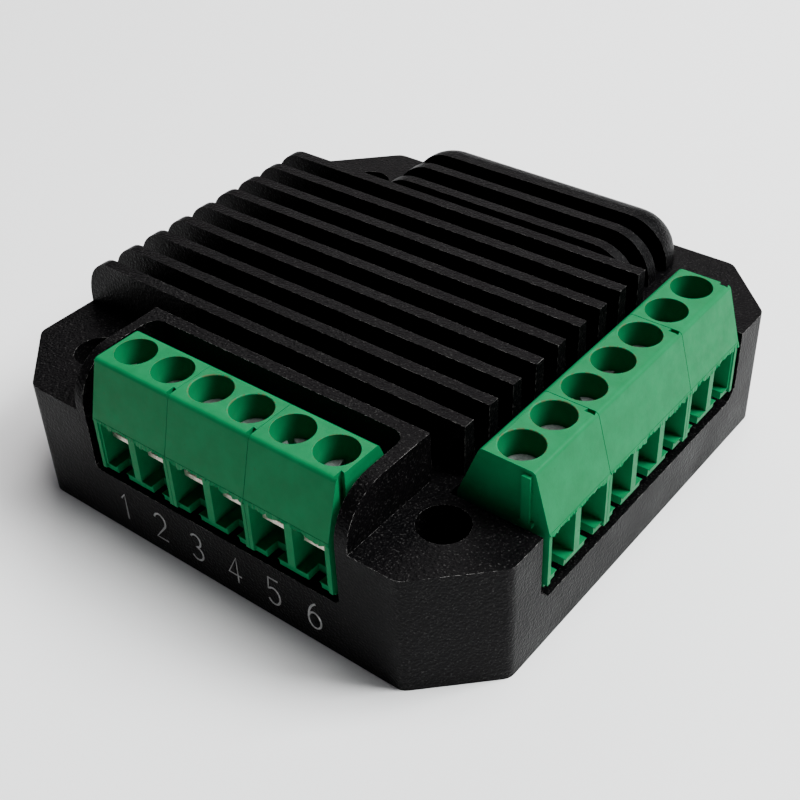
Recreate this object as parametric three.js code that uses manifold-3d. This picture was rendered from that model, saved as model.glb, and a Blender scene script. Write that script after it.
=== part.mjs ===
// A stepper driver module: a finned black heatsink housing over a circuit board, with two rows of
// green screw terminals. Millimetres, +Z up. The origin is the centre of the 42 mm footprint on the
// bottom face. The six-way row is at the front and faces -Y; the seven-way row is on the right and
// faces +X. Each terminal screw turns in its well and lifts a clamp cage along its thread.

import * as THREE from "three";
import { mergeVertices } from "three/addons/utils/BufferGeometryUtils.js";
import Module from "manifold-3d";

const wasm = await Module();
wasm.setup();

// ---- Driving dimensions -------------------------------------------------------------------------

// Footprint: a 42 mm square motor flange with cut corners and holes on a 31 mm square.
const SIDE = 42;
const HALF = SIDE / 2;
const CORNER_CUT = 4.8;
const CORNER_ROUND = 0.45;
const MOUNT_PITCH = 31;
const MOUNT_HOLE_RADIUS = 1.75;

// Heights.
const COVER_TOP = 1.2;
const BOARD_THICKNESS = 1.6;
const BOARD_TOP = 4.95;
const BOARD_BOTTOM = BOARD_TOP - BOARD_THICKNESS;
const CEILING = 8.0;
const FLANGE_TOP = 9.55;
const FIN_TOP = 13.4;

// Walls and the cross-shaped cavity.
const WALL = 1.4;
const CAVITY_HALF = HALF - WALL;
const CAVITY_ARM = 12.7;

// Fins, counted from the front. The nine long ones reach the left face of the housing.
const FIN_PITCH = 2.6375;
const FIN_TOP_WIDTH = 0.9;
const FIN_DRAFT = 0.12;
const LONG_FINS = 9;
const FIRST_FIN_Y = -10.6;
const LONG_FIN_END_X = 13.9;
const LEFT_END = { reach: 2.5, drop: 3.3 };
const SHORT_FINS_Y = [12.3, 14.95];
const TAIL_FRONT_Y = 17.1;

// The cross bar that carries the front rim and the short fins.
const BAR_CENTRE_X = 0.5;
const BAR_HALF_WIDTH = 12;
const BAR_ROUND = 3.5;
const RIM_BACK_Y = -12.75;

// Cut-outs for the two terminal rows.
const RECESS = { left: -10.7, right: 11.5, back: -13.7, lip: 4.75, cornerCut: 0.3, innerRound: 1.0 };
const NOTCH = { near: -13.0, far: 12.9, back: 14.1, lip: 3.95, cornerCut: 0.85 };

// Terminal blocks. Local frame: X along the row, Y from the front face backwards, Z up from the board.
const POLE_PITCH = 3.5;
const BLOCK_GAP = 0.04;
const BLOCK_DEPTH = 6.8;
const BLOCK_HEIGHT = 8.85;
const FACE_HEIGHT = 4.6;
const TOP_FRONT = 1.15;
const TOP_BACK = 5.1;
const TOP_ROUND = 0.3;
const POLE_WALL = 0.65;
const ROW_END_WALL = 0.5;
const WALL_SETBACK = 0.12;
const FLOOR = 0.65;
const FOOT_SETBACK = 0.26;
const FOOT_LIP = 0.25;
const FOOT_LIP_SETBACK = 0.28;
const FOOT_TOP = 0.6;
const WALL_TOP = 4.44;
const FOOT_GAP = 1.05;
const FOOT_GAP_DEPTH = 1.3;
const LINTEL_DEPTH = 1.25;
const LINTEL_BOTTOM = 4.52;
const CHAMBER_TOP = 5.0;
const CHAMBER_ROOF_HALF_WIDTH = 1.25;
const CHAMBER_BACK = 5.6;
const PIN_SLOT_FRONT = 4.8;
const WELL_RADIUS = 1.475;
const WELL_FLOOR = 5.45;
const SCREW_Y = 3.25;
const SHANK_HOLE_RADIUS = 1.0;
const RIB = { y: 1.6, rootWidth: 0.46, tipWidth: 0.64, reach: 0.3, clearance: 0.05 };
const RIB_BOTTOM = 4.7;
const RIB_TOP = 8.5;
const RIB_FOOT = { halfWidth: 0.5, height: 0.3 };

// Terminal screw, clamp cage and contact.
const HEAD_RADIUS = 1.3;
const HEAD_BOTTOM = 5.5;
const HEAD_TOP = 7.1;
const HEAD_CHAMFER = 0.15;
const SHANK_RADIUS = 0.8;
const SHANK_BOTTOM = 3.4;
const SLOT_WIDTH = 0.42;
const SLOT_DEPTH = 0.55;
const GOLDEN_ANGLE = 2.4;
const CAGE = { halfWidth: 1.2, back: 4.6, bottom: 2.6, top: 4.9 };
const CAGE_WINDOW = { halfWidth: 0.85, bottom: 2.95, top: 4.45 };
const CAGE_THREAD_RADIUS = 0.86;
const LINTEL_CLEARANCE = 0.1;
const CONTACT = { halfWidth: 0.65, setback: 0.1, back: 5.5, foot: 0.05, bottom: 3.0, thickness: 0.35 };
const PIN = { halfWidth: 0.3, bottom: -2.6, top: 0.3, holeRadius: 0.62 };

// Where the two rows stand on the board, and how far back from the front face their cages begin.
const FRONT_ROW = { start: -10.0, face: -20.9, blocks: [2, 2, 2], cageFront: 0.9 };
const RIGHT_ROW = { start: -12.55, face: 21.15, blocks: [2, 3, 2], cageFront: 2.2 };

// Bosses that hang from the ceiling, and the bottom cover that is screwed to them.
const BOSS_PLACE = 10.5;
const BOSS_RADIUS = 2.2;
const BOSS_NECK_RADIUS = 1.6;
const BOSS_BORE_RADIUS = 0.92;
const BOSS_BORE_TOP = 6.0;
const BOARD_HOLE_RADIUS = 1.8;
const INNER_CLEARANCE = 0.2;
const SPACER_RADIUS = 2.7;
const COVER_SCREW = { headRadius: 1.75, shankRadius: 0.84, headHeight: 1.0, length: 4.4, recess: 0.05 };
const COVER_SINK = { neckRadius: 0.95, clearance: 0.15 };

// Driver chip, its thermal pad and the pedestal over them.
const CHIP_HALF = 4;
const CHIP_HEIGHT = 1.0;
const PEDESTAL_HALF = 5;
const PEDESTAL_BOTTOM = 7.0;

const ROUND_STEPS = 36;
const SMALL_STEPS = 12;
const ARC_STEPS = 9;

// ---- Materials ----------------------------------------------------------------------------------

function material(color, roughness, metalness) {
  return new THREE.MeshStandardMaterial({ color, roughness, metalness });
}

const BLACK_ALUMINIUM = material(0x151517, 0.55, 0.6);
const GREEN_PLASTIC = material(0x1f8a5c, 0.45, 0.0);
const SCREW_STEEL = material(0x8f9a98, 0.35, 1.0);
const CLAMP_METAL = material(0xb9b3a6, 0.35, 1.0);
const TINNED_BRASS = material(0xc8c2b4, 0.3, 1.0);
const BLACK_BOARD = material(0x17141a, 0.6, 0.0);
const COVER_METAL = material(0x1c1c1e, 0.6, 0.5);
const DARK_STEEL = material(0x3a3a3c, 0.4, 1.0);
const CHIP_PLASTIC = material(0x101012, 0.6, 0.0);
const PAD_GREY = material(0x8c9094, 0.9, 0.0);
const FERRITE = material(0x3c3c3e, 0.8, 0.0);
const TANTALUM = material(0xc79a3a, 0.6, 0.0);

// ---- Solids -------------------------------------------------------------------------------------

function solid(geometry) {
  geometry.deleteAttribute("normal");
  geometry.deleteAttribute("uv");
  const merged = mergeVertices(geometry, 1e-4);
  return new wasm.Manifold(
    new wasm.Mesh({
      numProp: 3,
      vertProperties: merged.attributes.position.array,
      triVerts: new Uint32Array(merged.index.array),
    }),
  );
}

function addMesh(group, name, shape, finish) {
  const raw = shape.getMesh();
  const geometry = new THREE.BufferGeometry();
  geometry.setAttribute("position", new THREE.BufferAttribute(raw.vertProperties, 3));
  geometry.setIndex(new THREE.BufferAttribute(raw.triVerts, 1));
  geometry.computeVertexNormals();
  const mesh = new THREE.Mesh(geometry, finish);
  mesh.name = name;
  group.add(mesh);
}

function box(x0, x1, y0, y1, z0, z1) {
  const geometry = new THREE.BoxGeometry(x1 - x0, y1 - y0, z1 - z0);
  geometry.translate((x0 + x1) / 2, (y0 + y1) / 2, (z0 + z1) / 2);
  return solid(geometry);
}

function cylinder(x, y, z0, z1, radius, steps = ROUND_STEPS) {
  const geometry = new THREE.CylinderGeometry(radius, radius, z1 - z0, steps);
  geometry.rotateX(Math.PI / 2);
  geometry.translate(x, y, (z0 + z1) / 2);
  return solid(geometry);
}

function extrude(points, depth) {
  return new THREE.ExtrudeGeometry(new THREE.Shape(points), { depth, bevelEnabled: false });
}

// An outline in XY carried from z0 up to z1.
function prismAlongZ(points, z0, z1) {
  return solid(extrude(points, z1 - z0).translate(0, 0, z0));
}

// An outline in YZ carried from x0 to x1.
function prismAlongX(points, x0, x1) {
  const turned = new THREE.Matrix4().makeBasis(
    new THREE.Vector3(0, 1, 0),
    new THREE.Vector3(0, 0, 1),
    new THREE.Vector3(1, 0, 0),
  );
  return solid(extrude(points, x1 - x0).applyMatrix4(turned).translate(x0, 0, 0));
}

// An outline in XZ carried from y0 to y1.
function prismAlongY(points, y0, y1) {
  const turned = new THREE.Matrix4().makeBasis(
    new THREE.Vector3(1, 0, 0),
    new THREE.Vector3(0, 0, 1),
    new THREE.Vector3(0, -1, 0),
  );
  return solid(extrude(points, y1 - y0).applyMatrix4(turned).translate(0, y1, 0));
}

function point(a, b) {
  return new THREE.Vector2(a, b);
}

function ellipseArc(centreA, centreB, reachA, reachB, fromDegrees, toDegrees, steps = ARC_STEPS) {
  const points = [];
  for (let i = 0; i <= steps; i++) {
    const angle = THREE.MathUtils.degToRad(fromDegrees + ((toDegrees - fromDegrees) * i) / steps);
    points.push(point(centreA + reachA * Math.cos(angle), centreB + reachB * Math.sin(angle)));
  }
  return points;
}

function arc(centreA, centreB, radius, fromDegrees, toDegrees, steps = ARC_STEPS) {
  return ellipseArc(centreA, centreB, radius, radius, fromDegrees, toDegrees, steps);
}

// A quadratic corner at b between its neighbours a and c, starting `radius` away from b.
function softCorner(a, b, c, radius, steps = 3) {
  const start = b.clone().add(a.clone().sub(b).setLength(radius));
  const end = b.clone().add(c.clone().sub(b).setLength(radius));
  return new THREE.QuadraticBezierCurve(start, b, end).getPoints(steps);
}

function forEachCorner(place, action) {
  for (const sx of [-1, 1]) {
    for (const sy of [-1, 1]) action(sx * place, sy * place);
  }
}

// ---- Heatsink housing ---------------------------------------------------------------------------

function footprintOutline() {
  const inner = HALF - CORNER_CUT;
  const sharp = [
    point(inner, -HALF),
    point(HALF, -inner),
    point(HALF, inner),
    point(inner, HALF),
    point(-inner, HALF),
    point(-HALF, inner),
    point(-HALF, -inner),
    point(-inner, -HALF),
  ];
  return sharp.flatMap((corner, i) =>
    softCorner(sharp.at(i - 1), corner, sharp[(i + 1) % sharp.length], CORNER_ROUND),
  );
}

// A fin's cross-section in YZ, rooted inside the flange.
function finOutline(centreY) {
  const top = FIN_TOP_WIDTH / 2;
  const root = top + FIN_DRAFT;
  const rootZ = FLANGE_TOP - 0.5;
  return [
    point(centreY - root, rootZ),
    point(centreY + root, rootZ),
    point(centreY + top, FIN_TOP),
    point(centreY - top, FIN_TOP),
  ];
}

function longFins() {
  let fins = null;
  for (let i = 0; i < LONG_FINS; i++) {
    const outline = finOutline(FIRST_FIN_Y + i * FIN_PITCH);
    const fin = prismAlongX(outline, -HALF, LONG_FIN_END_X);
    fins = fins ? fins.add(fin) : fin;
  }
  const sideView = [
    point(-HALF, FLANGE_TOP - 1),
    point(HALF, FLANGE_TOP - 1),
    point(HALF, FIN_TOP),
    ...ellipseArc(-HALF + LEFT_END.reach, FIN_TOP - LEFT_END.drop, LEFT_END.reach, LEFT_END.drop, 90, 180),
  ];
  return fins.intersect(prismAlongY(sideView, -HALF, HALF));
}

// The rounded pad behind the long fins: two short fins and a solid tail.
function backPad() {
  const left = BAR_CENTRE_X - BAR_HALF_WIDTH;
  const right = BAR_CENTRE_X + BAR_HALF_WIDTH;
  const planRound = BAR_ROUND + 0.05;
  const outline = [
    point(left, 0),
    point(right, 0),
    ...arc(right - planRound, HALF - planRound, planRound, 0, 90),
    ...arc(left + planRound, HALF - planRound, planRound, 90, 180),
  ];
  const domed = new THREE.ExtrudeGeometry(new THREE.Shape(outline), {
    depth: FIN_TOP - BAR_ROUND,
    bevelThickness: BAR_ROUND,
    bevelSize: BAR_ROUND,
    bevelOffset: -BAR_ROUND,
    bevelSegments: ARC_STEPS,
  });
  let ridges = box(left, right, TAIL_FRONT_Y, HALF, FLANGE_TOP - 0.5, FIN_TOP);
  for (const y of SHORT_FINS_Y) ridges = ridges.add(prismAlongX(finOutline(y), left, right));
  return ridges.intersect(solid(domed));
}

// The rim around the front row, square at its sides and rounded down to the front face.
function frontRim() {
  const sideView = [
    point(-HALF, FLANGE_TOP - 0.5),
    point(RIM_BACK_Y + FIN_DRAFT, FLANGE_TOP - 0.5),
    point(RIM_BACK_Y, FIN_TOP),
    ...arc(-HALF + BAR_ROUND, FIN_TOP - BAR_ROUND, BAR_ROUND, 90, 180),
  ];
  return prismAlongX(sideView, BAR_CENTRE_X - BAR_HALF_WIDTH, BAR_CENTRE_X + BAR_HALF_WIDTH);
}

// A cross: one arm along X and one along Y.
function cross(reach, arm, z0, z1) {
  return box(-reach, reach, -arm, arm, z0, z1).add(box(-arm, arm, -reach, reach, z0, z1));
}

function frontRecess() {
  const { left, right, back, lip, cornerCut, innerRound } = RECESS;
  const outside = -HALF - 1;
  const plan = [
    point(left, outside),
    point(right, outside),
    ...arc(right - innerRound, back - innerRound, innerRound, 0, 90, 3),
    ...arc(left + innerRound, back - innerRound, innerRound, 90, 180, 3),
  ];
  const frontView = [
    point(left + cornerCut, lip),
    point(right - cornerCut, lip),
    point(right, lip + cornerCut),
    point(right, FIN_TOP + 1),
    point(left, FIN_TOP + 1),
    point(left, lip + cornerCut),
  ];
  return prismAlongZ(plan, lip, FIN_TOP + 1).intersect(prismAlongY(frontView, outside, 0));
}

function rightNotch() {
  const { near, far, back, lip, cornerCut } = NOTCH;
  const sideView = [
    point(near + cornerCut, lip),
    point(far - cornerCut, lip),
    point(far, lip + cornerCut),
    point(far, FIN_TOP + 1),
    point(near, FIN_TOP + 1),
    point(near, lip + cornerCut),
  ];
  return prismAlongX(sideView, back, HALF + 1);
}

function heatsinkHousing() {
  let body = prismAlongZ(footprintOutline(), 0, FLANGE_TOP);
  body = body.add(longFins()).add(backPad()).add(frontRim());
  body = body.subtract(cross(CAVITY_HALF, CAVITY_ARM, -1, CEILING));
  body = body.subtract(frontRecess()).subtract(rightNotch());
  body = body.add(box(-PEDESTAL_HALF, PEDESTAL_HALF, -PEDESTAL_HALF, PEDESTAL_HALF, PEDESTAL_BOTTOM, CEILING));
  forEachCorner(BOSS_PLACE, (x, y) => {
    body = body.add(cylinder(x, y, BOARD_TOP, CEILING, BOSS_RADIUS));
    body = body.add(cylinder(x, y, COVER_TOP + 0.05, BOARD_TOP, BOSS_NECK_RADIUS));
    body = body.subtract(cylinder(x, y, 0, BOSS_BORE_TOP, BOSS_BORE_RADIUS, SMALL_STEPS));
  });
  forEachCorner(MOUNT_PITCH / 2, (x, y) => {
    body = body.subtract(cylinder(x, y, -1, FLANGE_TOP + 1, MOUNT_HOLE_RADIUS));
  });
  return body;
}

// ---- Terminal blocks ----------------------------------------------------------------------------

function blockOutline() {
  const topBack = point(TOP_BACK, BLOCK_HEIGHT);
  const topFront = point(TOP_FRONT, BLOCK_HEIGHT);
  const backKnee = point(BLOCK_DEPTH, FACE_HEIGHT);
  const frontKnee = point(0, FACE_HEIGHT);
  return [
    point(0, 0),
    point(BLOCK_DEPTH, 0),
    backKnee,
    ...softCorner(backKnee, topBack, topFront, TOP_ROUND),
    ...softCorner(topBack, topFront, frontKnee, TOP_ROUND),
    frontKnee,
  ];
}

// The dovetail that joins one block to the next, standing out of the face x = atX towards -X.
function dovetail(atX, grow, top) {
  const root = RIB.rootWidth / 2 + grow;
  const tip = RIB.tipWidth / 2 + grow;
  const reach = RIB.reach + grow;
  const outline = [
    point(atX + 0.2, RIB.y - root),
    point(atX, RIB.y - root),
    point(atX - reach, RIB.y - tip),
    point(atX - reach, RIB.y + tip),
    point(atX, RIB.y + root),
    point(atX + 0.2, RIB.y + root),
  ];
  return prismAlongZ(outline.reverse(), RIB_BOTTOM - grow, top);
}

// The walls between two poles stand back a little from the front face, and the feet stand back further.
function frontRelief() {
  return [
    point(-1, -1),
    point(FOOT_SETBACK, -1),
    point(FOOT_SETBACK, FOOT_TOP),
    point(WALL_SETBACK, FOOT_TOP),
    point(WALL_SETBACK, WALL_TOP),
    point(-1, WALL_TOP),
  ];
}

// The wire chamber of the pole centred on x, from x0 to x1. Its roof is higher over the clamp than at
// the front, where the sloped face hangs over it.
function wireChamber(x, x0, x1) {
  const half = CHAMBER_ROOF_HALF_WIDTH;
  const entry = box(x0, x1, -1, CHAMBER_BACK, FLOOR, LINTEL_BOTTOM);
  return entry.add(box(x - half, x + half, LINTEL_DEPTH, CHAMBER_BACK, FLOOR, CHAMBER_TOP));
}

function terminalBlock(poles, isFirst, isLast) {
  const length = poles * POLE_PITCH - BLOCK_GAP;
  const halfWall = POLE_WALL / 2;
  let body = prismAlongX(blockOutline(), 0, length).add(dovetail(0, 0, RIB_TOP));
  if (isFirst) {
    const { halfWidth, height } = RIB_FOOT;
    body = body.add(
      box(-RIB.reach, 0.2, RIB.y - halfWidth, RIB.y + halfWidth, RIB_BOTTOM, RIB_BOTTOM + height),
    );
  }
  body = body.subtract(dovetail(length + BLOCK_GAP, RIB.clearance, BLOCK_HEIGHT + 1));
  body = body.subtract(prismAlongX(frontRelief(), halfWall, length - halfWall));
  body = body.subtract(box(-1, length + 1, -1, FOOT_LIP_SETBACK, -1, FOOT_LIP));
  for (let i = 0; i < poles; i++) {
    const x = (i + 0.5) * POLE_PITCH;
    const x0 = isFirst && i === 0 ? ROW_END_WALL : x - POLE_PITCH / 2 + halfWall;
    const x1 = isLast && i === poles - 1 ? length - ROW_END_WALL : x + POLE_PITCH / 2 - halfWall;
    body = body.subtract(wireChamber(x, x0, x1));
    body = body.subtract(box(x - FOOT_GAP / 2, x + FOOT_GAP / 2, -1, FOOT_GAP_DEPTH, -1, FLOOR + 0.1));
    body = body.subtract(box(x0, x1, PIN_SLOT_FRONT, CHAMBER_BACK, -1, FLOOR + 0.1));
    body = body.subtract(cylinder(x, SCREW_Y, WELL_FLOOR, BLOCK_HEIGHT + 1, WELL_RADIUS));
    body = body.subtract(
      cylinder(x, SCREW_Y, CHAMBER_TOP - 0.1, WELL_FLOOR + 0.1, SHANK_HOLE_RADIUS, SMALL_STEPS),
    );
  }
  return body;
}

// A slotted screw about its own axis. `turn` is the angle that its slot stands at.
function terminalScrew(turn) {
  const profile = [
    point(0, SHANK_BOTTOM),
    point(SHANK_RADIUS, SHANK_BOTTOM),
    point(SHANK_RADIUS, HEAD_BOTTOM),
    point(HEAD_RADIUS, HEAD_BOTTOM),
    point(HEAD_RADIUS, HEAD_TOP - HEAD_CHAMFER),
    point(HEAD_RADIUS - HEAD_CHAMFER, HEAD_TOP),
    point(0, HEAD_TOP),
  ];
  const turned = solid(new THREE.LatheGeometry(profile, SMALL_STEPS + 4).rotateX(Math.PI / 2));
  const half = SLOT_WIDTH / 2;
  const slot = box(-2, 2, -half, half, HEAD_TOP - SLOT_DEPTH, HEAD_TOP + 1);
  return turned.subtract(slot).rotate([0, 0, THREE.MathUtils.radToDeg(turn)]);
}

// The cage that climbs the screw, about the screw's axis. Its floor and sides begin at cageFront, and its
// threaded top plate begins behind the lintel.
function clampCage(cageFront) {
  const front = cageFront - SCREW_Y;
  const plateFront = Math.max(cageFront, LINTEL_DEPTH + LINTEL_CLEARANCE) - SCREW_Y;
  const back = CAGE.back - SCREW_Y;
  const { halfWidth, bottom, top } = CAGE_WINDOW;
  const channel = box(-CAGE.halfWidth, CAGE.halfWidth, front, back, CAGE.bottom, top);
  const plate = box(-CAGE.halfWidth, CAGE.halfWidth, plateFront, back, top - 0.1, CAGE.top);
  const window = box(-halfWidth, halfWidth, front - 1, back + 1, bottom, top);
  const thread = cylinder(0, 0, top - 0.1, CAGE.top + 1, CAGE_THREAD_RADIUS, SMALL_STEPS + 4);
  return channel.add(plate).subtract(window).subtract(thread);
}

// The fixed contact: a bar over the wire, bent down into a solder pin. About the screw's axis.
function contact(cageFront) {
  const front = cageFront + CONTACT.setback - SCREW_Y;
  const back = CONTACT.back - SCREW_Y;
  const top = CONTACT.bottom + CONTACT.thickness;
  const bent = [
    point(front, CONTACT.bottom),
    point(back - CONTACT.thickness, CONTACT.bottom),
    point(back - CONTACT.thickness, CONTACT.foot),
    point(back, CONTACT.foot),
    point(back, top),
    point(front, top),
  ];
  const bar = prismAlongX(bent, -CONTACT.halfWidth, CONTACT.halfWidth);
  const pin = box(-PIN.halfWidth, PIN.halfWidth, back - CONTACT.thickness, back, PIN.bottom, PIN.top);
  return bar.add(pin);
}

// One row: its blocks, and a screw, a clamp and a contact in every pole.
function terminalRow(side, row) {
  const group = new THREE.Group();
  let pole = 0;
  row.blocks.forEach((poles, blockIndex) => {
    const isLast = blockIndex === row.blocks.length - 1;
    const block = terminalBlock(poles, blockIndex === 0, isLast).translate([pole * POLE_PITCH, 0, 0]);
    addMesh(group, `${side}_terminal_block_${blockIndex + 1}`, block, GREEN_PLASTIC);
    for (let i = 0; i < poles; i++) {
      const place = [(pole + 0.5) * POLE_PITCH, SCREW_Y, 0];
      pole += 1;
      const screw = terminalScrew(pole * GOLDEN_ANGLE);
      addMesh(group, `${side}_terminal_screw_${pole}`, screw.translate(place), SCREW_STEEL);
      addMesh(group, `${side}_clamp_${pole}`, clampCage(row.cageFront).translate(place), CLAMP_METAL);
      addMesh(group, `${side}_contact_${pole}`, contact(row.cageFront).translate(place), TINNED_BRASS);
    }
  });
  group.position.z = BOARD_TOP;
  return group;
}

function frontRow() {
  const group = terminalRow("front", FRONT_ROW);
  group.position.x = FRONT_ROW.start;
  group.position.y = FRONT_ROW.face;
  return group;
}

function rightRow() {
  const group = terminalRow("right", RIGHT_ROW);
  group.rotation.z = Math.PI / 2;
  group.position.x = RIGHT_ROW.face;
  group.position.y = RIGHT_ROW.start;
  return group;
}

// ---- Board, its parts and the bottom cover ------------------------------------------------------

function poleCount(row) {
  return row.blocks.reduce((total, poles) => total + poles, 0);
}

function pinPlaces() {
  const pinDepth = CONTACT.back - CONTACT.thickness / 2;
  const places = [];
  for (let i = 0; i < poleCount(FRONT_ROW); i++) {
    places.push([FRONT_ROW.start + (i + 0.5) * POLE_PITCH, FRONT_ROW.face + pinDepth]);
  }
  for (let i = 0; i < poleCount(RIGHT_ROW); i++) {
    places.push([RIGHT_ROW.face - pinDepth, RIGHT_ROW.start + (i + 0.5) * POLE_PITCH]);
  }
  return places;
}

function circuitBoard() {
  const reach = CAVITY_HALF - INNER_CLEARANCE;
  const arm = CAVITY_ARM - INNER_CLEARANCE;
  let board = cross(reach, arm, BOARD_BOTTOM, BOARD_TOP);
  forEachCorner(BOSS_PLACE, (x, y) => {
    board = board.subtract(cylinder(x, y, 0, FLANGE_TOP, BOARD_HOLE_RADIUS));
  });
  for (const [x, y] of pinPlaces()) {
    board = board.subtract(cylinder(x, y, 0, FLANGE_TOP, PIN.holeRadius, SMALL_STEPS));
  }
  return board;
}

function bottomCover() {
  const reach = CAVITY_HALF - INNER_CLEARANCE;
  const arm = CAVITY_ARM - INNER_CLEARANCE;
  let cover = cross(reach, arm, 0, COVER_TOP);
  const sinkRadius = COVER_SCREW.headRadius + COVER_SINK.clearance;
  forEachCorner(BOSS_PLACE, (x, y) => {
    const spacer = cylinder(x, y, COVER_TOP - 0.2, BOARD_BOTTOM, SPACER_RADIUS);
    cover = cover.add(spacer.subtract(cylinder(x, y, COVER_TOP, FLANGE_TOP, BOARD_HOLE_RADIUS)));
    const sink = new THREE.CylinderGeometry(COVER_SINK.neckRadius, sinkRadius, COVER_TOP + 0.02, ROUND_STEPS);
    sink.rotateX(Math.PI / 2).translate(x, y, COVER_TOP / 2);
    cover = cover.subtract(solid(sink)).subtract(cylinder(x, y, -1, 0.05, sinkRadius));
  });
  return cover;
}

function coverScrew() {
  const { headRadius, shankRadius, headHeight, length, recess } = COVER_SCREW;
  const profile = [
    point(0, recess),
    point(headRadius - 0.1, recess),
    point(shankRadius, headHeight),
    point(shankRadius, length),
    point(0, length),
  ];
  return solid(new THREE.LatheGeometry(profile, SMALL_STEPS + 4).rotateX(Math.PI / 2));
}

function addBoardParts(group) {
  const chipTop = BOARD_TOP + CHIP_HEIGHT;
  const onBoard = (x, y, halfX, halfY, height) =>
    box(x - halfX, x + halfX, y - halfY, y + halfY, BOARD_TOP, BOARD_TOP + height);
  addMesh(group, "motor_driver_chip", onBoard(0, 0, CHIP_HALF, CHIP_HALF, CHIP_HEIGHT), CHIP_PLASTIC);
  const pad = box(-CHIP_HALF, CHIP_HALF, -CHIP_HALF, CHIP_HALF, chipTop, PEDESTAL_BOTTOM);
  addMesh(group, "thermal_pad", pad, PAD_GREY);
  addMesh(group, "controller_chip", onBoard(-11, 2.5, 3.5, 3.5, CHIP_HEIGHT), CHIP_PLASTIC);
  addMesh(group, "regulator_inductor", onBoard(-15.8, -6.5, 2.5, 2.5, 2.4), FERRITE);
  addMesh(group, "input_capacitor_1", onBoard(-3.5, 15.5, 3.65, 2.15, 2.8), TANTALUM);
  addMesh(group, "input_capacitor_2", onBoard(5.5, 15.5, 3.65, 2.15, 2.8), TANTALUM);
  addMesh(group, "sense_resistor_1", onBoard(-3.5, 8.5, 3.2, 1.6, 0.7), CHIP_PLASTIC);
  addMesh(group, "sense_resistor_2", onBoard(4.5, 8.5, 3.2, 1.6, 0.7), CHIP_PLASTIC);
}

// ---- The module ---------------------------------------------------------------------------------

function driverModule() {
  const group = new THREE.Group();
  addMesh(group, "heatsink_housing", heatsinkHousing(), BLACK_ALUMINIUM);
  addMesh(group, "circuit_board", circuitBoard(), BLACK_BOARD);
  addMesh(group, "bottom_cover", bottomCover(), COVER_METAL);
  let count = 0;
  forEachCorner(BOSS_PLACE, (x, y) => {
    count += 1;
    addMesh(group, `cover_screw_${count}`, coverScrew().translate([x, y, 0]), DARK_STEEL);
  });
  addBoardParts(group);
  group.add(frontRow(), rightRow());
  return group;
}

export default driverModule();
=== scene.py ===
import math
import random

import bmesh
import bpy
from mathutils import Matrix, Quaternion, Vector


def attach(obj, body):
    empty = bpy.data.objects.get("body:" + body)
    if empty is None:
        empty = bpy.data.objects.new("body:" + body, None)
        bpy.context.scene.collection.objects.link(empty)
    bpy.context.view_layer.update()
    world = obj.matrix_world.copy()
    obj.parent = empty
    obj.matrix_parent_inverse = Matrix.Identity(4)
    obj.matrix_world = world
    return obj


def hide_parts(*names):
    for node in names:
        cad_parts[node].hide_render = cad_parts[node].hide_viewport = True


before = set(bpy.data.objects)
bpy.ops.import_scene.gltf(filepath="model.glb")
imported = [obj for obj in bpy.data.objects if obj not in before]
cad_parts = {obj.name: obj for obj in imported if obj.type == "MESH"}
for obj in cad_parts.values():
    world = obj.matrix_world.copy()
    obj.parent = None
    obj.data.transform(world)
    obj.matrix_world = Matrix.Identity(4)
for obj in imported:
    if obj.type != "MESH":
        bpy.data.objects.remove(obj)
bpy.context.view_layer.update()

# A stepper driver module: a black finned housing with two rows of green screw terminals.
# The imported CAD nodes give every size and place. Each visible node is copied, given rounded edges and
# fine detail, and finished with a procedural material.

MM = 0.001
random.seed(7)

# Camera: where it aims, and from which side.
AIM = Vector((-0.89, 0.72, 1.45)) * MM
CAMERA_DISTANCE = 102.09 * MM
CAMERA_AZIMUTH = math.radians(39.58)
CAMERA_ELEVATION = math.radians(37.63)
CAMERA_ROLL = math.radians(-2.55)
CAMERA_LENS = 59.0

# The floor: how far it lies under the bottom face, in millimetres, and half its side in metres.
FLOOR_GAP = 0.02
FLOOR_REACH = 2.0

# The terminal rows, in millimetres. Each row starts at a corner of its first block and runs to the
# right as seen from outside. `turn` is the row's angle about Z in degrees.
ROOT = "module"
BOARD_TOP = 4.95
POLE_PITCH = 3.5
SCREW_DEPTH = 3.25
ROWS = {
    "front": {"corner": (-10.0, -20.9), "turn": 0, "blocks": (2, 2, 2)},
    "right": {"corner": (21.15, -12.55), "turn": 90, "blocks": (2, 3, 2)},
}
HOOD_EDGE = 4.47
BLOCK_HEIGHT = 8.85
WELL_RADIUS = 1.475
SLOT_TURN = 2.4

# Terminal screw, above the board's top face.
SHANK = {"bottom": 3.4, "top": 5.5, "radius": 0.8, "core": 0.64, "pitch": 0.4}
HEAD = {"top": 7.1, "radius": 1.3, "round": 0.16}
SLOT = {"width": 0.42, "depth": 0.55}

# Cover screw, above the bottom face.
COVER_HEAD = {"bottom": 0.05, "rim": 0.12, "top": 1.0, "radius": 1.65}
COVER_SHANK = {"bottom": 1.0, "top": 4.4, "radius": 0.84, "core": 0.68, "pitch": 0.45}
RECESS = {"reach": 0.95, "width": 0.42, "depth": 0.62}

# Engraved terminal numbers on the -Y side face.
SIDE_FACE_Y = -21.0
DIGIT_BOTTOM = 1.25
DIGIT_HEIGHT = 2.3
DIGIT_WIDTH = 1.25
STROKE_RADIUS = 0.08

# How far each kind of piece has its sharp edges rounded, in millimetres.
ROUNDING = {
    "housing": 0.27,
    "block": 0.08,
    "well_rim": 0.11,
    "clamp": 0.07,
    "contact": 0.06,
    "board": 0.06,
    "cover": 0.1,
    "board_part": 0.12,
}

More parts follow.
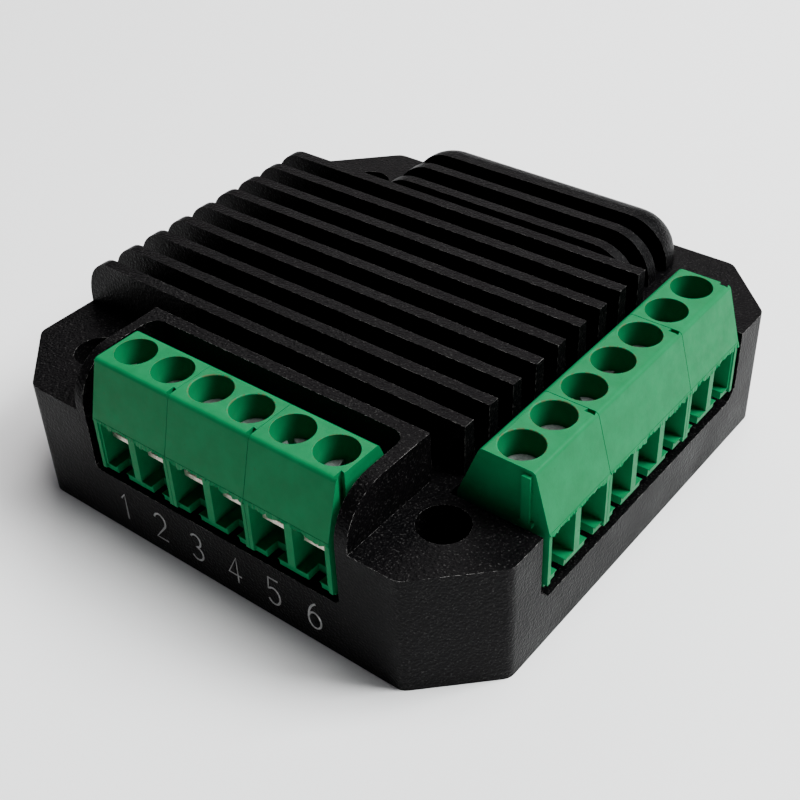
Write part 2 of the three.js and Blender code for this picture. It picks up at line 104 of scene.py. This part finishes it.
# Wear: rings round the mounting holes, in millimetres. How strongly a block's plain edges get the painted
# edge highlight.
HOLE_PLACE = 15.5
WORN_RING = 2.3
BLOCK_EDGE_HIGHLIGHT = 0.4


# ---- Camera, light and floor --------------------------------------------------------------------

def direction(azimuth, elevation):
    """Unit vector towards a viewer who stands at that azimuth and elevation."""
    flat = math.cos(elevation)
    return Vector((math.sin(azimuth) * flat, -math.cos(azimuth) * flat, math.sin(elevation)))


def add_camera():
    data = bpy.data.cameras.new("camera")
    data.lens = CAMERA_LENS
    data.sensor_width = 36.0
    data.clip_start = 0.002
    data.clip_end = 20.0
    camera = bpy.data.objects.new("camera", data)
    back = direction(CAMERA_AZIMUTH, CAMERA_ELEVATION)
    camera.location = AIM + back * CAMERA_DISTANCE
    upright = (-back).to_track_quat("-Z", "Y")
    camera.rotation_mode = "QUATERNION"
    camera.rotation_quaternion = upright @ Quaternion((0, 0, 1), CAMERA_ROLL)
    bpy.context.scene.collection.objects.link(camera)
    bpy.context.scene.camera = camera


def add_area_light(name, azimuth, elevation, distance, size, power, color):
    data = bpy.data.lights.new(name, "AREA")
    data.shape = "RECTANGLE"
    data.size, data.size_y = size
    data.energy = power
    data.color = color
    light = bpy.data.objects.new(name, data)
    towards = direction(math.radians(azimuth), math.radians(elevation))
    light.location = towards * distance
    light.rotation_mode = "QUATERNION"
    light.rotation_quaternion = towards.to_track_quat("Z", "Y")
    bpy.context.scene.collection.objects.link(light)


def add_light():
    world = bpy.data.worlds.new("studio")
    world.use_nodes = True
    world.node_tree.nodes["Background"].inputs["Color"].default_value = (0.93, 0.95, 1.0, 1)
    world.node_tree.nodes["Background"].inputs["Strength"].default_value = 0.1
    bpy.context.scene.world = world
    add_area_light("key", 128, 48, 0.45, (0.20, 0.20), 4.6, (0.98, 1.0, 1.0))
    add_area_light("top", 150, 76, 0.50, (0.25, 0.25), 2.2, (1.0, 1.0, 1.0))
    add_area_light("back", 214, 40, 0.45, (0.26, 0.14), 0.7, (1.0, 0.95, 0.95))


def add_floor():
    mesh = bpy.data.meshes.new("floor")
    reach = FLOOR_REACH
    corners = [(-reach, -reach, 0), (reach, -reach, 0), (reach, reach, 0), (-reach, reach, 0)]
    mesh.from_pydata(corners, [], [(0, 1, 2, 3)])
    floor = bpy.data.objects.new("floor", mesh)
    floor.location.z = -FLOOR_GAP * MM
    bpy.context.scene.collection.objects.link(floor)
    mesh.materials.append(floor_material())


# ---- Node helpers -------------------------------------------------------------------------------

class Shader:
    """A material and its Principled shader, with short ways to add texture nodes."""

    def __init__(self, name, **values):
        self.material = bpy.data.materials.new(name)
        self.material.use_nodes = True
        self.tree = self.material.node_tree
        self.surface = self.tree.nodes["Principled BSDF"]
        for key, value in values.items():
            self.surface.inputs[key.replace("_", " ")].default_value = value
        self.place = self.add("ShaderNodeTexCoord").outputs["Object"]

    def add(self, kind, **settings):
        node = self.tree.nodes.new(kind)
        for key, value in settings.items():
            setattr(node, key, value)
        return node

    def link(self, source, target):
        self.tree.links.new(source, target)

    def drive(self, name, source):
        self.link(source, self.surface.inputs[name])

    def noise(self, size, detail=3.0, roughness=0.55):
        """Noise whose blotches are about `size` millimetres across."""
        node = self.add("ShaderNodeTexNoise")
        node.inputs["Scale"].default_value = 1 / (size * MM)
        node.inputs["Detail"].default_value = detail
        node.inputs["Roughness"].default_value = roughness
        self.link(self.place, node.inputs["Vector"])
        return node.outputs["Fac"]

    def cells(self, size):
        node = self.add("ShaderNodeTexVoronoi")
        node.inputs["Scale"].default_value = 1 / (size * MM)
        self.link(self.place, node.inputs["Vector"])
        return node.outputs["Distance"]

    def spread(self, source, low, high, to_low=0.0, to_high=1.0):
        """Maps source from low..high to to_low..to_high, clamped."""
        node = self.add("ShaderNodeMapRange")
        self.link(source, node.inputs["Value"])
        for key, value in zip(("From Min", "From Max", "To Min", "To Max"), (low, high, to_low, to_high)):
            node.inputs[key].default_value = value
        return node.outputs["Result"]

    def times(self, a, b):
        node = self.add("ShaderNodeMath", operation="MULTIPLY")
        self.link(a, node.inputs[0])
        if isinstance(b, (int, float)):
            node.inputs[1].default_value = b
        else:
            self.link(b, node.inputs[1])
        return node.outputs["Value"]

    def plus(self, a, b):
        node = self.add("ShaderNodeMath", operation="ADD")
        node.use_clamp = True
        self.link(a, node.inputs[0])
        self.link(b, node.inputs[1])
        return node.outputs["Value"]

    def attribute(self, name):
        return self.add("ShaderNodeAttribute", attribute_name=name).outputs["Fac"]

    def blend(self, factor, a, b):
        """A colour between a and b, each a colour or a socket."""
        node = self.add("ShaderNodeMix", data_type="RGBA")
        self.link(factor, node.inputs["Factor"])
        for value, socket in ((a, node.inputs[6]), (b, node.inputs[7])):
            if isinstance(value, tuple):
                socket.default_value = (*value, 1)
            else:
                self.link(value, socket)
        return node.outputs[2]

    def bump(self, height, depth, strength=1.0, over=None):
        """Bump of the given depth in millimetres, on top of an earlier bump if there is one."""
        node = self.add("ShaderNodeBump")
        node.inputs["Distance"].default_value = depth * MM
        node.inputs["Strength"].default_value = strength
        self.link(height, node.inputs["Height"])
        if over:
            self.link(over, node.inputs["Normal"])
        self.drive("Normal", node.outputs["Normal"])
        return node.outputs["Normal"]


# ---- Materials ----------------------------------------------------------------------------------

def floor_material():
    shader = Shader("floor", Base_Color=(0.95, 0.95, 0.95, 1), Roughness=0.9)
    tint = shader.blend(shader.noise(60), (0.94, 0.94, 0.94), (0.96, 0.96, 0.96))
    shader.drive("Base Color", tint)
    return shader.material


def housing_material():
    """Black-coated die casting: blasted grain, dull patches, painted glint specks, and uncoated metal on
    worn edges.
    """
    shader = Shader("black_coating", Specular_IOR_Level=0.045)
    grain = shader.noise(0.16, 1.0, 0.5)
    pits = shader.cells(0.24)
    patches = shader.noise(5.0, 5.0, 0.6)
    patchy = shader.spread(patches, 0.35, 0.7)
    colour = shader.blend(patchy, (0.0007, 0.0007, 0.0009), (0.0016, 0.0013, 0.0016))
    wear = shader.times(shader.attribute("edge"), shader.spread(shader.noise(0.35, 4.0, 0.7), 0.49, 0.58))
    # Painted glints: sparse bright specks in the colour stand in for light sparkling off the blasted grain.
    painted_glints = shader.spread(shader.noise(0.14, 1.0, 0.5), 0.62, 0.74, 0.0, 0.06)
    # Worn edges and painted glints both lighten the colour towards the metal grey.
    wear_and_glints = shader.plus(wear, painted_glints)
    shader.drive("Base Color", shader.blend(wear_and_glints, colour, (0.34, 0.33, 0.32)))
    shader.drive("Roughness", shader.spread(patches, 0.3, 0.7, 0.36, 0.52))
    rough = shader.bump(pits, 0.04, 0.6)
    shader.bump(grain, 0.04, 1.0, over=rough)
    return shader.material


def engraving_material():
    shader = Shader("engraved_metal", Metallic=0.6)
    tone = shader.blend(shader.noise(0.1, 3.0), (0.12, 0.12, 0.12), (0.42, 0.42, 0.42))
    shader.drive("Base Color", tone)
    shader.drive("Roughness", shader.spread(shader.noise(0.2), 0.3, 0.7, 0.4, 0.6))
    shader.bump(shader.noise(0.08), 0.01, 0.5)
    return shader.material


def green_material():
    """Moulded green nylon: faint mottling, a painted highlight that pales the edges, dark specks, and
    brownish burrs round the wells.
    """
    shader = Shader("green_nylon", Specular_IOR_Level=0.05)
    mottle = shader.noise(1.6, 4.0, 0.6)
    base = shader.blend(shader.spread(mottle, 0.35, 0.65), (0.0012, 0.126, 0.041), (0.0016, 0.148, 0.050))
    edge = shader.attribute("edge")
    # Painted highlight: edges are paler green, standing in for light caught on the rounded edges.
    edge_highlighted = shader.blend(shader.times(edge, 0.5), base, (0.006, 0.20, 0.08))
    specks = shader.spread(shader.noise(0.28, 2.0, 0.6), 0.70, 0.76, 0.0, 0.35)
    speckled = shader.blend(specks, edge_highlighted, (0.02, 0.05, 0.02))
    ragged = shader.spread(shader.noise(0.3, 3.0, 0.6), 0.47, 0.54, 0.0, 0.75)
    burrs = shader.times(shader.spread(edge, 0.6, 0.9), ragged)
    shader.drive("Base Color", shader.blend(burrs, speckled, (0.075, 0.08, 0.035)))
    shader.drive("Roughness", shader.spread(shader.noise(0.5, 4.0), 0.3, 0.7, 0.34, 0.5))
    shader.bump(shader.noise(0.22, 4.0, 0.65), 0.02, 0.35)
    return shader.material


def metal_material(name, dark, light, rough_low, rough_high):
    shader = Shader(name, Metallic=1.0)
    marks = shader.noise(0.15, 5.0, 0.65)
    grime = shader.noise(0.9, 4.0)
    tone = shader.blend(shader.spread(marks, 0.3, 0.7), dark, light)
    shader.drive("Base Color", shader.blend(shader.spread(grime, 0.55, 0.75, 0.0, 0.6), tone, dark))
    shader.drive("Roughness", shader.spread(grime, 0.3, 0.7, rough_low, rough_high))
    shader.bump(marks, 0.008, 0.4)
    return shader.material


def board_material():
    """Black solder mask with a woven glass texture under it."""
    shader = Shader("solder_mask", Specular_IOR_Level=0.5)
    weave = shader.cells(0.5)
    tone = shader.blend(shader.noise(1.2), (0.008, 0.006, 0.012), (0.018, 0.014, 0.022))
    shader.drive("Base Color", tone)
    shader.drive("Roughness", shader.spread(weave, 0.0, 0.6, 0.3, 0.45))
    shader.bump(weave, 0.01, 0.3)
    return shader.material


def moulded_material(name, dark, light, rough=0.6):
    shader = Shader(name)
    shader.drive("Base Color", shader.blend(shader.noise(0.8, 4.0), dark, light))
    shader.drive("Roughness", shader.spread(shader.noise(0.3), 0.3, 0.7, rough - 0.08, rough + 0.08))
    shader.bump(shader.noise(0.12), 0.012, 0.4)
    return shader.material


# ---- Mesh helpers -------------------------------------------------------------------------------

def new_piece(name, mesh):
    piece = bpy.data.objects.new(name, mesh)
    bpy.context.scene.collection.objects.link(piece)
    return piece


def clean_copy(node, name):
    """A new object with a CAD node's shape, its flat faces joined up again."""
    shape = bmesh.new()
    shape.from_mesh(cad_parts[node].data)
    bmesh.ops.remove_doubles(shape, verts=shape.verts, dist=1e-6)
    flat = math.radians(0.6)
    bmesh.ops.dissolve_limit(shape, angle_limit=flat, verts=shape.verts, edges=shape.edges)
    mesh = bpy.data.meshes.new(name)
    shape.to_mesh(mesh)
    shape.free()
    return new_piece(name, mesh)


def settle(piece):
    """Turns the piece's modifiers into plain mesh data."""
    depsgraph = bpy.context.evaluated_depsgraph_get()
    done = bpy.data.meshes.new_from_object(piece.evaluated_get(depsgraph))
    old = piece.data
    piece.modifiers.clear()
    piece.data = done
    bpy.data.meshes.remove(old)


def round_edges(piece, width, segments=3, sharper_than=35, wear=None, only=None):
    """Rounds the sharp edges, all of them or where `only` holds for an edge's middle point.

    Outward edges are marked in the attribute `edge`, with 1 or with what `wear` gives for the place: wear
    on the housing, the strength of the painted edge highlight on the green blocks.
    """
    shape = bmesh.new()
    shape.from_mesh(piece.data)
    limit = math.radians(sharper_than)
    sharp = [e for e in shape.edges if e.is_manifold and e.calc_face_angle() > limit]
    if only:
        sharp = [e for e in sharp if only((e.verts[0].co + e.verts[1].co) / 2)]
    made = bmesh.ops.bevel(
        shape,
        geom=sharp,
        offset=width * MM,
        offset_type="OFFSET",
        segments=segments,
        profile=0.5,
        affect="EDGES",
        clamp_overlap=True,
        loop_slide=True,
    )
    marks = shape.loops.layers.float
    layer = marks.get("edge") or marks.new("edge")
    for face in made["faces"]:
        if not face.is_valid:
            continue
        turn = sum(e.calc_face_angle_signed(0.0) for e in face.edges if e.is_manifold)
        if turn > 0:
            for loop in face.loops:
                loop[layer] = wear(loop.vert.co / MM) if wear else 1.0
    for face in shape.faces:
        face.smooth = True
    shape.to_mesh(piece.data)
    shape.free()


def cut(piece, cutter):
    """Takes the cutter's shape out of the piece, and leaves the cutter's material on the new faces."""
    modifier = piece.modifiers.new("cut", "BOOLEAN")
    modifier.operation = "DIFFERENCE"
    modifier.solver = "EXACT"
    modifier.use_self = True
    modifier.material_mode = "TRANSFER"
    modifier.object = cutter
    settle(piece)
    shape = cutter.data
    bpy.data.objects.remove(cutter)
    if isinstance(shape, bpy.types.Mesh):
        bpy.data.meshes.remove(shape)


def block(name, low, high):
    """A plain box between two corners given in millimetres."""
    shape = bmesh.new()
    bmesh.ops.create_cube(shape, size=1)
    for vert in shape.verts:
        for axis in range(3):
            vert.co[axis] = (high if vert.co[axis] > 0 else low)[axis] * MM
    mesh = bpy.data.meshes.new(name)
    shape.to_mesh(mesh)
    shape.free()
    return new_piece(name, mesh)


def turned(name, profile, segments=48, thread=None):
    """A turned solid about Z. The profile lists (radius, height) in millimetres, from one end to the other.

    `thread` gives the radius at an angle and a height, for the profile points that have no radius.
    """
    shape = bmesh.new()
    rings = []
    for radius, height in profile:
        ring = []
        for i in range(segments):
            angle = 2 * math.pi * i / segments
            reach = (thread(angle, height) if radius is None else radius) * MM
            ring.append(shape.verts.new((reach * math.cos(angle), reach * math.sin(angle), height * MM)))
        rings.append(ring)
    for lower, upper in zip(rings, rings[1:]):
        for i in range(segments):
            j = (i + 1) % segments
            shape.faces.new((lower[i], lower[j], upper[j], upper[i]))
    shape.faces.new(rings[0][::-1])
    shape.faces.new(rings[-1])
    bmesh.ops.recalc_face_normals(shape, faces=shape.faces)
    for face in shape.faces:
        face.smooth = True
    mesh = bpy.data.meshes.new(name)
    shape.to_mesh(mesh)
    shape.free()
    return new_piece(name, mesh)


def thread_of(shank):
    """The radius of a right-hand thread at an angle and a height."""
    def radius(angle, height):
        phase = (height / shank["pitch"] - angle / (2 * math.pi)) % 1
        crest = 1 - abs(2 * phase - 1)
        return shank["core"] + (shank["radius"] - shank["core"]) * min(1, crest * 1.25)
    return radius


def thread_levels(shank, per_turn=8):
    """Profile points without a radius, all the way up a threaded shank."""
    length = shank["top"] - shank["bottom"]
    steps = round(length / shank["pitch"] * per_turn)
    return [(None, shank["bottom"] + length * i / steps) for i in range(1, steps)]


def quarter_round(radius, height, size, steps=4):
    """Profile points that round the upper rim of a head."""
    points = []
    for i in range(steps + 1):
        angle = math.pi / 2 * i / steps
        points.append((radius - size + size * math.cos(angle), height - size + size * math.sin(angle)))
    return points


def even_normals(piece):
    """Keeps flat faces flat in the shading, and only the rounded edges soft."""
    modifier = piece.modifiers.new("normals", "WEIGHTED_NORMAL")
    modifier.keep_sharp = True
    modifier.weight = 60


def finish_piece(piece, finish, node, body):
    """Gives a piece its material and its normals, and puts it in the place of a CAD node."""
    if not any(piece.data.materials):
        piece.data.materials.clear()
        piece.data.materials.append(finish)
    even_normals(piece)
    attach(piece, body)
    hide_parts(node)


def refine(node, finish, edge_width, body=ROOT):
    """Replaces a CAD node by its own shape with rounded edges and a finish."""
    piece = clean_copy(node, node + "_shell")
    round_edges(piece, edge_width)
    piece.data.materials.clear()
    finish_piece(piece, finish, node, body)


# ---- Housing ------------------------------------------------------------------------------------

def housing_wear(place):
    """How worn an edge is: most at the fins' right ends, round the holes and along the front."""
    near_hole = math.hypot(abs(place.x) - HOLE_PLACE, abs(place.y) - HOLE_PLACE) < WORN_RING
    fin_end = place.x > 12.5 and place.z > 12.6
    front_edge = place.y < -20.2 or place.x > 20.6
    rim = place.y < -12.5 and place.z > 10.5
    return 1.0 if near_hole or fin_end or front_edge or rim else 0.3


def arc_stroke(centre, reach, start, end, steps=14):
    points = []
    for i in range(steps + 1):
        angle = math.radians(start + (end - start) * i / steps)
        points.append((centre[0] + reach[0] * math.cos(angle), centre[1] + reach[1] * math.sin(angle)))
    return points


def digit_strokes():
    """The strokes of the digits 1 to 6, in a cell of one by one."""
    return [
        [[(0.25, 0.78), (0.55, 1.0), (0.55, 0.0)]],
        [arc_stroke((0.5, 0.72), (0.42, 0.28), 165, -38) + [(0.06, 0.0), (0.95, 0.0)]],
        [
            arc_stroke((0.47, 0.76), (0.37, 0.24), 150, -90)
            + arc_stroke((0.47, 0.26), (0.44, 0.26), 90, -150)
        ],
        [[(0.70, 0.0), (0.70, 1.0), (0.05, 0.30), (0.98, 0.30)]],
        [[(0.88, 1.0), (0.20, 1.0), (0.13, 0.55)] + arc_stroke((0.48, 0.32), (0.43, 0.32), 125, -150)],
        [arc_stroke((0.5, 0.3), (0.42, 0.3), 180, 540, 24), arc_stroke((0.86, 0.3), (0.78, 0.7), 180, 106)],
    ]


def digit_cutter(finish):
    """Round strokes of the terminal numbers, lying in the -Y side face under their poles."""
    curve = bpy.data.curves.new("digits", "CURVE")
    curve.dimensions = "3D"
    curve.bevel_depth = STROKE_RADIUS * MM
    curve.bevel_resolution = 2
    curve.use_fill_caps = True
    row_start = ROWS["front"]["corner"][0]
    for number, strokes in enumerate(digit_strokes()):
        left = row_start + (number + 0.5) * POLE_PITCH - DIGIT_WIDTH / 2
        for stroke in strokes:
            spline = curve.splines.new("POLY")
            spline.points.add(len(stroke) - 1)
            for spot, (across, up) in zip(spline.points, stroke):
                x = left + across * DIGIT_WIDTH
                z = DIGIT_BOTTOM + up * DIGIT_HEIGHT
                spot.co = (x * MM, SIDE_FACE_Y * MM, z * MM, 1)
    drawn = new_piece("digits", curve)
    depsgraph = bpy.context.evaluated_depsgraph_get()
    mesh = bpy.data.meshes.new_from_object(drawn.evaluated_get(depsgraph))
    bpy.data.objects.remove(drawn)
    bpy.data.curves.remove(curve)
    mesh.materials.append(finish)
    return new_piece("digit_cutter", mesh)


def add_housing(coating, engraving):
    node = "heatsink_housing"
    piece = clean_copy(node, "housing_shell")
    round_edges(piece, ROUNDING["housing"], 4, wear=housing_wear)
    piece.data.materials.clear()
    piece.data.materials.append(coating)
    cut(piece, digit_cutter(engraving))
    finish_piece(piece, coating, node, ROOT)


# ---- Terminal rows ------------------------------------------------------------------------------

def row_frame(side):
    """From a row's own axes (along it, into the housing, up from the board) to the module's."""
    corner = ROWS[side]["corner"]
    place = Matrix.Translation(Vector((*corner, BOARD_TOP)) * MM)
    return place @ Matrix.Rotation(math.radians(ROWS[side]["turn"]), 4, "Z")


def pole_count(side):
    return sum(ROWS[side]["blocks"])


def add_flash(side, index, start, length, finish):
    """The ragged moulding flash that hangs from the lower edge of a block's sloped face."""
    shape = bmesh.new()
    steps = round(length * 7)
    rings = []
    depth = 0.1
    for i in range(steps + 1):
        along = start + 0.03 + (length - 0.06) * i / steps
        wander = random.uniform(-0.13, 0.13)
        depth = min(0.33, max(0.06, depth + wander))
        out = random.uniform(0.04, 0.15)
        ring = [(-0.03, 0.08), (0.06, 0.08), (0.03, -depth), (-out, -depth)]
        rings.append([shape.verts.new(Vector((along, a, HOOD_EDGE + b)) * MM) for a, b in ring])
    for first, second in zip(rings, rings[1:]):
        for i in range(4):
            j = (i + 1) % 4
            shape.faces.new((first[i], first[j], second[j], second[i]))
    shape.faces.new(rings[0])
    shape.faces.new(rings[-1][::-1])
    bmesh.ops.recalc_face_normals(shape, faces=shape.faces)
    shape.transform(row_frame(side))
    mesh = bpy.data.meshes.new(f"{side}_flash_{index}")
    shape.to_mesh(mesh)
    shape.free()
    piece = new_piece(mesh.name, mesh)
    mesh.materials.append(finish)
    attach(piece, ROOT)


def well_rims(side):
    """Tells whether a place, in metres, is on the rim of one of the row's screw wells."""
    into_row = row_frame(side).inverted()

    def on_rim(place):
        spot = into_row @ place / MM
        pole_middle = (math.floor(spot.x / POLE_PITCH) + 0.5) * POLE_PITCH
        reach = math.hypot(spot.x - pole_middle, spot.y - SCREW_DEPTH)
        return reach < WELL_RADIUS + 0.05 and spot.z > BLOCK_HEIGHT - 0.05

    return on_rim


def add_blocks(side, finish):
    """The green blocks, with wider edges round the wells that get the burrs and the full painted edge
    highlight, and their flash.
    """
    first_pole = 0
    on_rim = well_rims(side)
    for index, poles in enumerate(ROWS[side]["blocks"], start=1):
        node = f"{side}_terminal_block_{index}"
        piece = clean_copy(node, node + "_shell")
        round_edges(piece, ROUNDING["well_rim"], only=on_rim)
        # Plain edges get a weaker painted edge highlight than the well rims.
        round_edges(piece, ROUNDING["block"], wear=lambda place: BLOCK_EDGE_HIGHLIGHT)
        piece.data.materials.clear()
        finish_piece(piece, finish, node, ROOT)
        add_flash(side, index, first_pole * POLE_PITCH, poles * POLE_PITCH, finish)
        first_pole += poles


def terminal_screw_model():
    """A slotted cheese-head screw with a rounded rim and a real thread, about its own axis."""
    thread = thread_of(SHANK)
    profile = [(SHANK["core"] * 0.8, SHANK["bottom"])]
    profile += thread_levels(SHANK)
    profile += [(SHANK["core"], SHANK["top"]), (HEAD["radius"] - 0.08, SHANK["top"])]
    profile += [(HEAD["radius"], SHANK["top"] + 0.08)]
    profile += quarter_round(HEAD["radius"], HEAD["top"], HEAD["round"])
    model = turned("terminal_screw_model", profile, 48, thread)
    half = SLOT["width"] / 2
    slot_floor = HEAD["top"] - SLOT["depth"]
    cut(model, block("slot_cutter", (-2, -half, slot_floor), (2, half, HEAD["top"] + 1)))
    head_middle = (SHANK["top"] + HEAD["top"]) / 2 * MM
    round_edges(model, 0.035, 2, 50, only=lambda place: place.z > head_middle)
    return model


def add_terminal_screws(side, model, finish):
    for pole in range(1, pole_count(side) + 1):
        name = f"{side}_terminal_screw_{pole}"
        mesh = model.data.copy()
        spot = Vector(((pole - 0.5) * POLE_PITCH, SCREW_DEPTH, 0)) * MM
        slot_turn = Matrix.Rotation(pole * SLOT_TURN, 4, "Z")
        mesh.transform(row_frame(side) @ Matrix.Translation(spot) @ slot_turn)
        piece = new_piece(name + "_turned", mesh)
        finish_piece(piece, finish, name, f"{side}_screw_{pole}")


def add_row(side, green, steel, nickel, tin, model):
    add_blocks(side, green)
    add_terminal_screws(side, model, steel)
    for pole in range(1, pole_count(side) + 1):
        clamp = f"{side}_clamp_{pole}"
        refine(clamp, nickel, ROUNDING["clamp"], clamp)
        refine(f"{side}_contact_{pole}", tin, ROUNDING["contact"])


# ---- Underside ----------------------------------------------------------------------------------

def cover_screw_model():
    """A countersunk screw with a cross recess, head down, about its own axis."""
    thread = thread_of(COVER_SHANK)
    profile = [
        (COVER_HEAD["radius"] - 0.06, COVER_HEAD["bottom"]),
        (COVER_HEAD["radius"], COVER_HEAD["rim"]),
        (COVER_SHANK["core"], COVER_HEAD["top"]),
    ]
    profile += thread_levels(COVER_SHANK)
    profile += [(COVER_SHANK["core"] * 0.8, COVER_SHANK["top"])]
    model = turned("cover_screw_model", profile, 48, thread)
    reach = RECESS["reach"]
    half = RECESS["width"] / 2
    top = COVER_HEAD["bottom"] + RECESS["depth"]
    cut(model, block("recess_cutter", (-reach, -half, -1), (reach, half, top)))
    cut(model, block("recess_cutter", (-half, -reach, -1), (half, reach, top)))
    round_edges(model, 0.03, 2, 50, only=lambda place: place.z < top * MM)
    return model


def add_cover_screws(finish):
    model = cover_screw_model()
    for i in range(1, 5):
        name = f"cover_screw_{i}"
        middle = frame_middle(name)
        mesh = model.data.copy()
        turn = Matrix.Rotation(i * SLOT_TURN, 4, "Z")
        mesh.transform(Matrix.Translation((middle.x, middle.y, 0)) @ turn)
        finish_piece(new_piece(name + "_turned", mesh), finish, name, ROOT)
    discard(model)


def frame_middle(node):
    """The middle of a CAD node's box."""
    spots = [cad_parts[node].matrix_world @ vert.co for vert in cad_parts[node].data.vertices]
    low = Vector(min(spot[axis] for spot in spots) for axis in range(3))
    high = Vector(max(spot[axis] for spot in spots) for axis in range(3))
    return (low + high) / 2


def discard(model):
    mesh = model.data
    bpy.data.objects.remove(model)
    bpy.data.meshes.remove(mesh)


# ---- The scene ----------------------------------------------------------------------------------

def build():
    black = housing_material()
    green = green_material()
    steel = metal_material("screw_steel", (0.22, 0.24, 0.235), (0.48, 0.51, 0.50), 0.3, 0.45)
    nickel = metal_material("nickel_plate", (0.38, 0.34, 0.28), (0.72, 0.67, 0.58), 0.25, 0.42)
    tin = metal_material("tin_plate", (0.45, 0.42, 0.36), (0.78, 0.74, 0.66), 0.22, 0.4)
    dark = metal_material("black_oxide", (0.02, 0.02, 0.02), (0.06, 0.06, 0.06), 0.35, 0.5)
    board = board_material()
    chip = moulded_material("chip_epoxy", (0.008, 0.008, 0.009), (0.02, 0.02, 0.021))
    pad = moulded_material("silicone_pad", (0.20, 0.22, 0.24), (0.28, 0.30, 0.33), 0.8)
    ferrite = moulded_material("ferrite", (0.02, 0.02, 0.02), (0.06, 0.06, 0.06), 0.7)
    tantalum = moulded_material("tantalum_case", (0.45, 0.25, 0.05), (0.62, 0.38, 0.09), 0.5)

    add_housing(black, engraving_material())
    screw = terminal_screw_model()
    for side in ROWS:
        add_row(side, green, steel, nickel, tin, screw)
    discard(screw)
    refine("circuit_board", board, ROUNDING["board"])
    refine("bottom_cover", black, ROUNDING["cover"])
    add_cover_screws(dark)
    inner = {
        "motor_driver_chip": (chip, "chip"),
        "controller_chip": (chip, "chip"),
        "sense_resistor_1": (chip, "chip"),
        "sense_resistor_2": (chip, "chip"),
        "thermal_pad": (pad, "pad"),
        "regulator_inductor": (ferrite, "ferrite"),
        "input_capacitor_1": (tantalum, "capacitor"),
        "input_capacitor_2": (tantalum, "capacitor"),
    }
    for node, (finish, slot_name) in inner.items():
        refine(node, finish, ROUNDING["board_part"])


add_camera()
add_light()
add_floor()
build()
